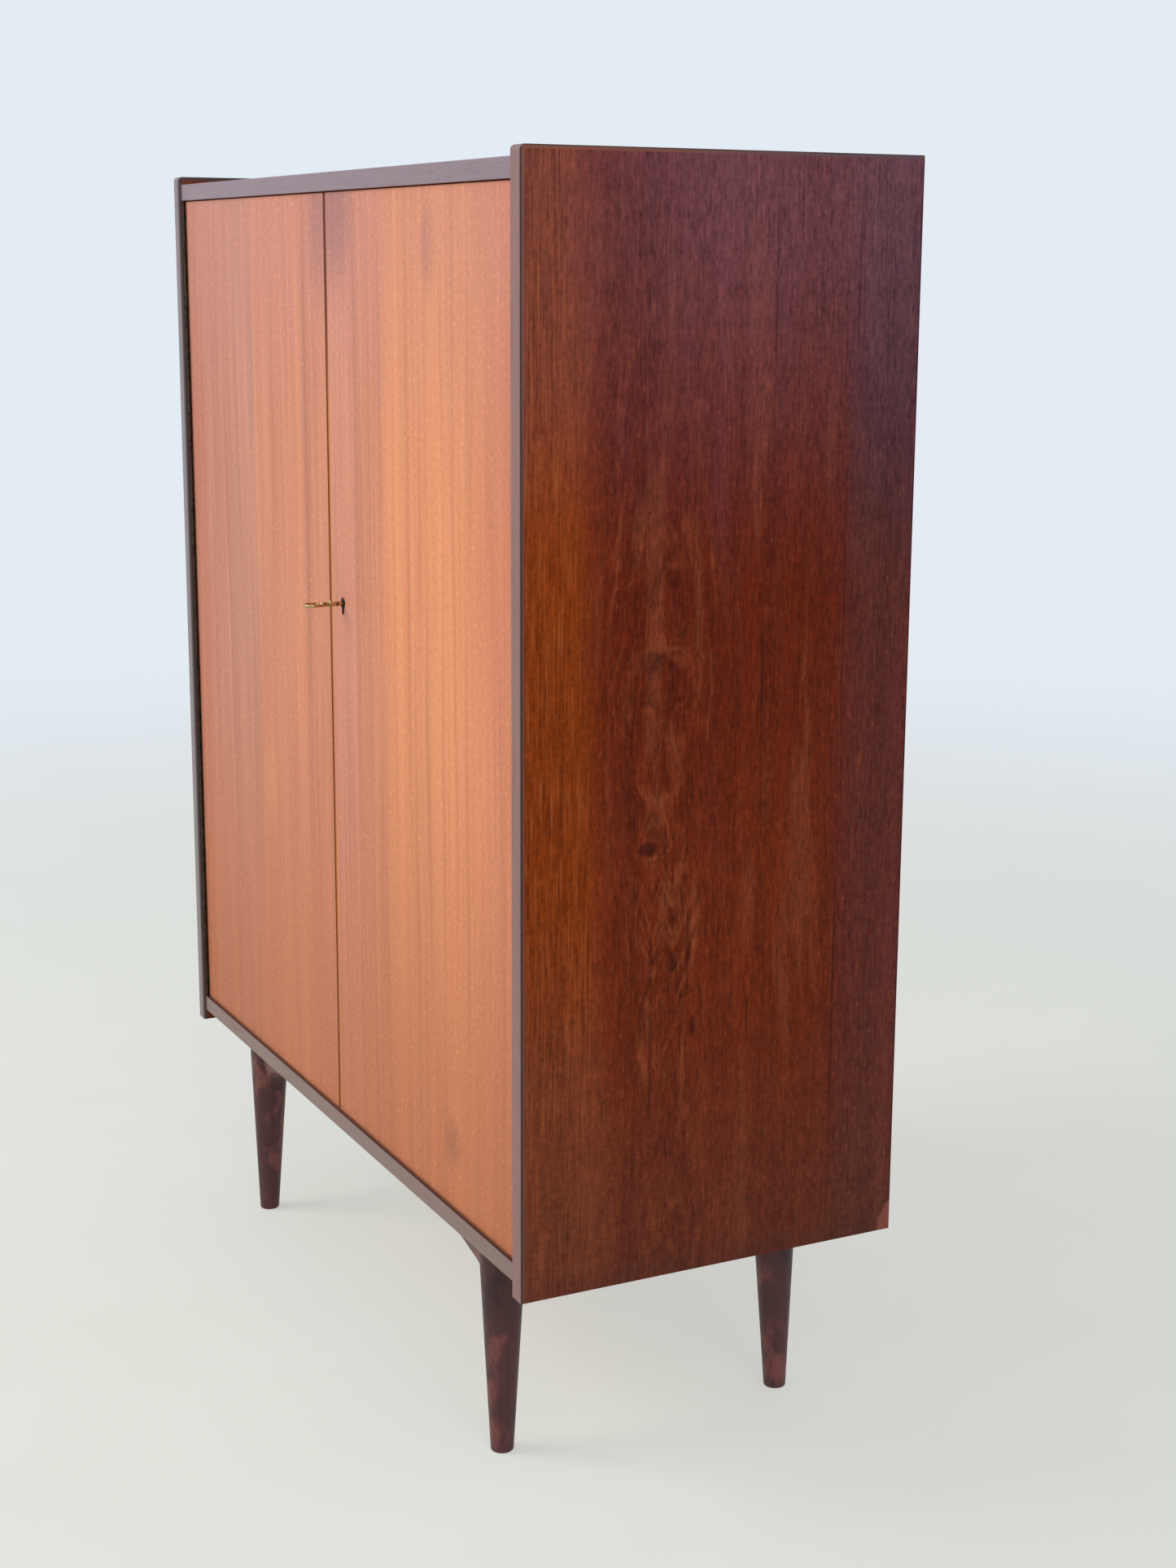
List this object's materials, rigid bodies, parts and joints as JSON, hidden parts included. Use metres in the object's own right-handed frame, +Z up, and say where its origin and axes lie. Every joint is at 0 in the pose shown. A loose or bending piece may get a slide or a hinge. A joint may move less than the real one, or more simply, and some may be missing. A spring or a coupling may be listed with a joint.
{
  "type": "wardrobe with doors",
  "caption": "Dark wood wardrobe with inset piano-hinged teak doors, a key lock, a shelved bay, a hanging bay and a low frame on turned tapered legs.",
  "frame": {"origin": "on the floor, below the middle of the outline of the closed wardrobe with its key in the lock", "axes": "+Z up; the doors face -Y; +X is to the right of someone facing the doors"},
  "size_m": [1.022, 0.4682, 1.332],
  "materials": {
    "side_veneer": "dark stained veneer, satin",
    "edge_wood": "dark solid lipping, satin",
    "door_veneer": "teak veneer, satin",
    "inside_veneer": "pale brown veneer, matt",
    "teak_lipping": "golden solid lipping, satin",
    "plywood": "thin plywood, matt",
    "dowel_wood": "beech, matt",
    "leg_wood": "dark stained hardwood, worn satin",
    "hinge_brass": "rolled brass, dull",
    "lock_brass": "brass, satin",
    "key_brass": "aged brass, polished by use",
    "steel": "plated steel",
    "dark_metal": "darkened metal, satin",
    "catch_plastic": "brown moulded plastic"
  },
  "bodies": {
    "carcass": {"left_side_panel": "side_veneer", "right_side_panel": "side_veneer", "left_front_lipping": "edge_wood", "right_front_lipping": "edge_wood", "left_top_lipping": "edge_wood", "right_top_lipping": "edge_wood", "top_panel": "inside_veneer", "top_panel_lipping": "edge_wood", "bottom_panel": "inside_veneer", "bottom_panel_lipping": "edge_wood", "centre_partition": "inside_veneer", "partition_lipping": "teak_lipping", "back_panel": "plywood", "back_panel_screws": "steel", "carcass_dowels": "dowel_wood", "upper_shelf": "inside_veneer", "middle_shelf": "inside_veneer", "lower_shelf": "inside_veneer", "hat_shelf": "inside_veneer", "shelf_pins": "lock_brass", "garment_rail": "steel", "garment_rail_brackets": "steel", "front_rail": "leg_wood", "rear_rail": "leg_wood", "rail_screws": "steel", "leg_dowels": "dowel_wood", "leg_front_left": "leg_wood", "leg_front_right": "leg_wood", "leg_rear_left": "leg_wood", "leg_rear_right": "leg_wood", "left_hinge_frame_leaf": "hinge_brass", "right_hinge_frame_leaf": "hinge_brass", "left_hinge_pin": "steel", "right_hinge_pin": "steel", "magnetic_catch": "catch_plastic", "strike_plate": "lock_brass"},
    "left_door": {"left_door": "door_veneer", "left_hinge_door_leaf": "hinge_brass", "catch_plate": "steel"},
    "right_door": {"right_door": "door_veneer", "right_hinge_door_leaf": "hinge_brass", "keyhole_insert": "dark_metal", "lock_case": "lock_brass", "lock_screws": "lock_brass"},
    "lock_bolt": {"lock_bolt": "steel"},
    "key": {"key": "key_brass"}
  },
  "joints": [
    {"name": "left_door_hinge", "type": "hinge", "parent": "carcass", "child": "left_door", "pos_m": [-0.4871, -0.1917, 0.78375], "axis": [0, 0, -1], "range_deg": [0, 150]},
    {"name": "right_door_hinge", "type": "hinge", "parent": "carcass", "child": "right_door", "pos_m": [0.4871, -0.1917, 0.78375], "axis": [0, 0, 1], "range_deg": [0, 150]},
    {"name": "key_turn", "type": "hinge", "parent": "right_door", "child": "key", "pos_m": [0.038, -0.1654, 0.863], "axis": [0, -1, 0], "range_deg": [0, 180]},
    {"name": "bolt_slide", "type": "slide", "parent": "right_door", "child": "lock_bolt", "axis": [-1, 0, 0], "range_m": [0, 0.01]}
  ],
  "couplings": [
    {"joint": "bolt_slide", "follows": "key_turn", "m_per_rad": 0.00318}
  ]
}
